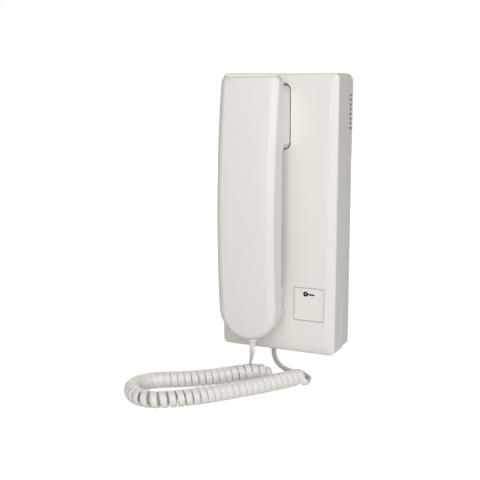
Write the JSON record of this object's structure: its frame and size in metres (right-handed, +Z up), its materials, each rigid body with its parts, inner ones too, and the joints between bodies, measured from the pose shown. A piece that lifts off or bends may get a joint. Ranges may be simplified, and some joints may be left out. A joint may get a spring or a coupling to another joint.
{
  "type": "audio intercom handset",
  "caption": "Wall-mounted audio intercom station with a lift-off handset, a square door-release button and a curly cord.",
  "frame": {"origin": "middle of the wall-screw pattern, on the back face that lies on the wall", "axes": "+Z up, along the length of the base unit; +Y into the wall, so the handset is on the -Y side; +X to the right as seen from the room"},
  "size_m": [0.1337, 0.1223, 0.2263],
  "materials": {
    "housing_rear": "moulded white plastic, satin",
    "housing_front": "moulded white plastic, satin",
    "handset_front": "moulded white plastic, satin",
    "handset_rear": "moulded white plastic, satin",
    "button_plastic": "moulded white plastic, satin",
    "cord_plastic": "soft white jacket with a slight sheen",
    "screw_steel": "zinc-plated steel",
    "weight_steel": "plain steel bar",
    "spring_steel": "spring wire",
    "magnet_steel": "magnet in its plated yoke",
    "circuit_board": "solder-masked board",
    "terminal_plastic": "moulded terminal body",
    "trimmer_plastic": "moulded trimmer body",
    "black_plastic": "black moulded plastic",
    "capacitor_can": "drawn can",
    "speaker_film": "thin pressed film",
    "boot_rubber": "soft black rubber",
    "felt": "thin felt"
  },
  "bodies": {
    "base": {"rear_cover": "housing_rear", "front_housing": "housing_front", "cover_screw": "screw_steel", "main_board": "circuit_board", "board_screws": "screw_steel", "terminal_block": "terminal_plastic", "terminal_screws": "screw_steel", "amplifier_chip": "black_plastic", "capacitors": "capacitor_can", "volume_trimmer": "trimmer_plastic", "call_speaker_frame": "black_plastic", "call_speaker_cone": "speaker_film", "call_speaker_magnet": "magnet_steel", "hook_spring_cup": "black_plastic", "hook_spring": "spring_steel", "hook_switch": "black_plastic", "door_switch": "black_plastic", "base_grommet": "cord_plastic", "base_lead": "cord_plastic", "curly_cord": "cord_plastic", "handset_lead": "cord_plastic"},
    "cradle_plunger": {"hook_plunger": "housing_front"},
    "door_release": {"door_button": "button_plastic", "door_switch_stem": "black_plastic"},
    "handset": {"handset_shell": "handset_front", "handset_back": "handset_rear", "handset_screws": "screw_steel", "handset_weight": "weight_steel", "handset_grommet": "cord_plastic", "earpiece_felt": "felt", "earpiece_frame": "black_plastic", "earpiece_cone": "speaker_film", "earpiece_magnet": "magnet_steel", "microphone_boot": "boot_rubber", "microphone": "capacitor_can"}
  },
  "joints": [
    {"name": "handset_lift", "type": "slide", "parent": "base", "child": "handset", "axis": [0, -1, 0], "range_m": [0, 0.06]},
    {"name": "hook_plunge", "type": "slide", "parent": "base", "child": "cradle_plunger", "axis": [0, -1, 0], "range_m": [0, 0.004]},
    {"name": "door_press", "type": "slide", "parent": "base", "child": "door_release", "axis": [0, 1, 0], "range_m": [0, 0.0015], "stiffness_N_per_m": 400}
  ],
  "couplings": [
    {"joint": "hook_plunge", "follows": "handset_lift", "ratio": 0.0666}
  ]
}
